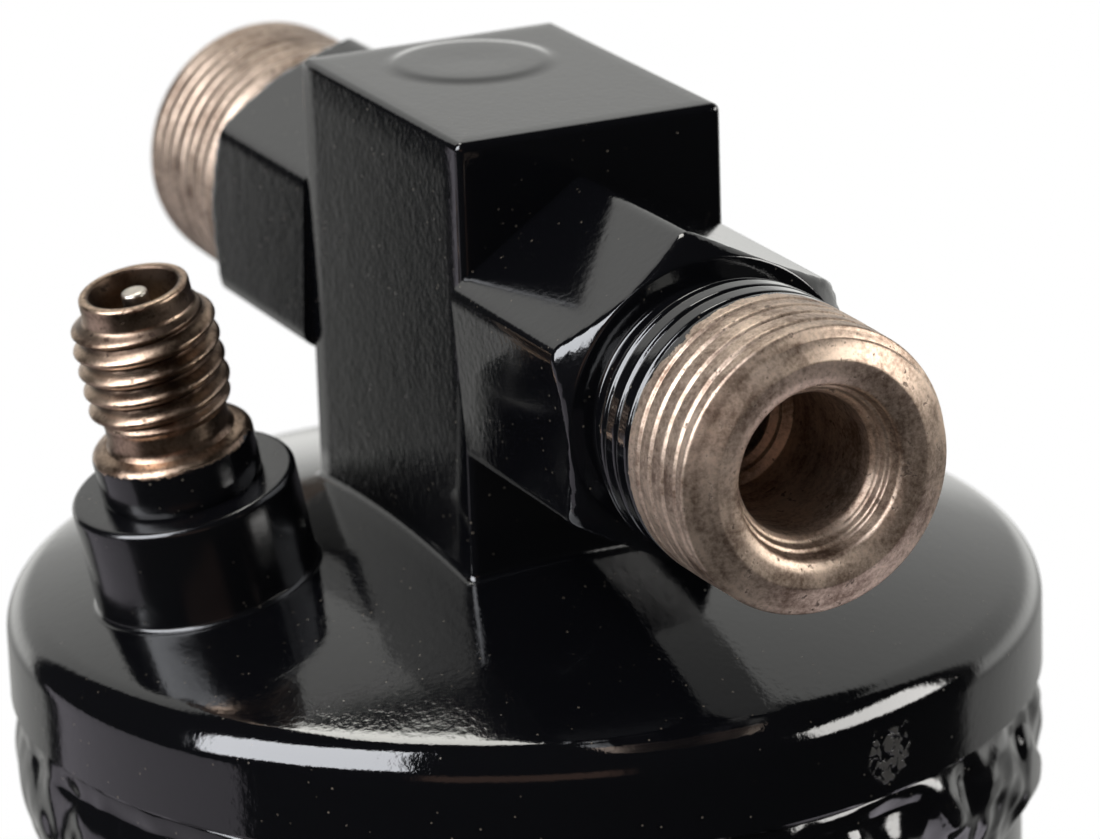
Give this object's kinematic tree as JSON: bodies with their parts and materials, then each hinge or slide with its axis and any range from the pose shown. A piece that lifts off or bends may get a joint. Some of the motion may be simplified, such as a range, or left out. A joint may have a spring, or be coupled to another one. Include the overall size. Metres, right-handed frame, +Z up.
{
  "type": "receiver drier",
  "caption": "Black steel canister with a domed cap, a port block with opposed threaded hose fittings and a service valve; stores, filters and dries liquid refrigerant.",
  "frame": {"origin": "middle of the flat base of the canister", "axes": "+Z up the canister's axis, +X toward the outlet fitting, -Y toward the service valve"},
  "size_m": [0.099, 0.0802, 0.2668],
  "materials": {
    "black_paint": "glossy black paint with slight orange peel",
    "turned_steel": "turned steel with a warm yellow plating",
    "brass": "plain brass",
    "seal_plastic": "white sealing plastic",
    "rubber": "black rubber",
    "spring_steel": "drawn spring wire",
    "tube_steel": "drawn steel tube",
    "strainer_plastic": "natural moulded plastic",
    "screen_steel": "fine wire screen",
    "pressed_steel": "pressed sheet steel",
    "filter_felt": "pressed filter felt",
    "desiccant": "packed desiccant beads"
  },
  "bodies": {
    "canister": {"block_braze": "black_paint", "block_plug": "black_paint", "boss_braze": "black_paint", "core_seal": "seal_plastic", "desiccant_bed": "desiccant", "inlet_braze": "brass", "inlet_fitting": "turned_steel", "lower_pad": "filter_felt", "lower_plate": "pressed_steel", "lower_shell": "black_paint", "outlet_braze": "brass", "outlet_fitting": "turned_steel", "pack_spring": "spring_steel", "pack_stand": "pressed_steel", "pickup_tube": "tube_steel", "port_block": "black_paint", "seam_weld": "black_paint", "service_valve": "turned_steel", "strainer_cage": "strainer_plastic", "strainer_screen": "screen_steel", "top_cap": "black_paint", "upper_pad": "filter_felt", "upper_plate": "pressed_steel", "valve_boss": "black_paint", "valve_core": "brass", "valve_spring": "spring_steel"},
    "valve_stem": {"valve_pin": "brass", "valve_poppet": "rubber"}
  },
  "joints": [
    {"name": "valve_press", "type": "slide", "parent": "canister", "child": "valve_stem", "axis": [-0.0427, 0.2056, -0.9777], "range_m": [0, 0.0015], "stiffness_N_per_m": 1500, "springref_m": -0.002, "deforming": ["valve_spring"]}
  ]
}
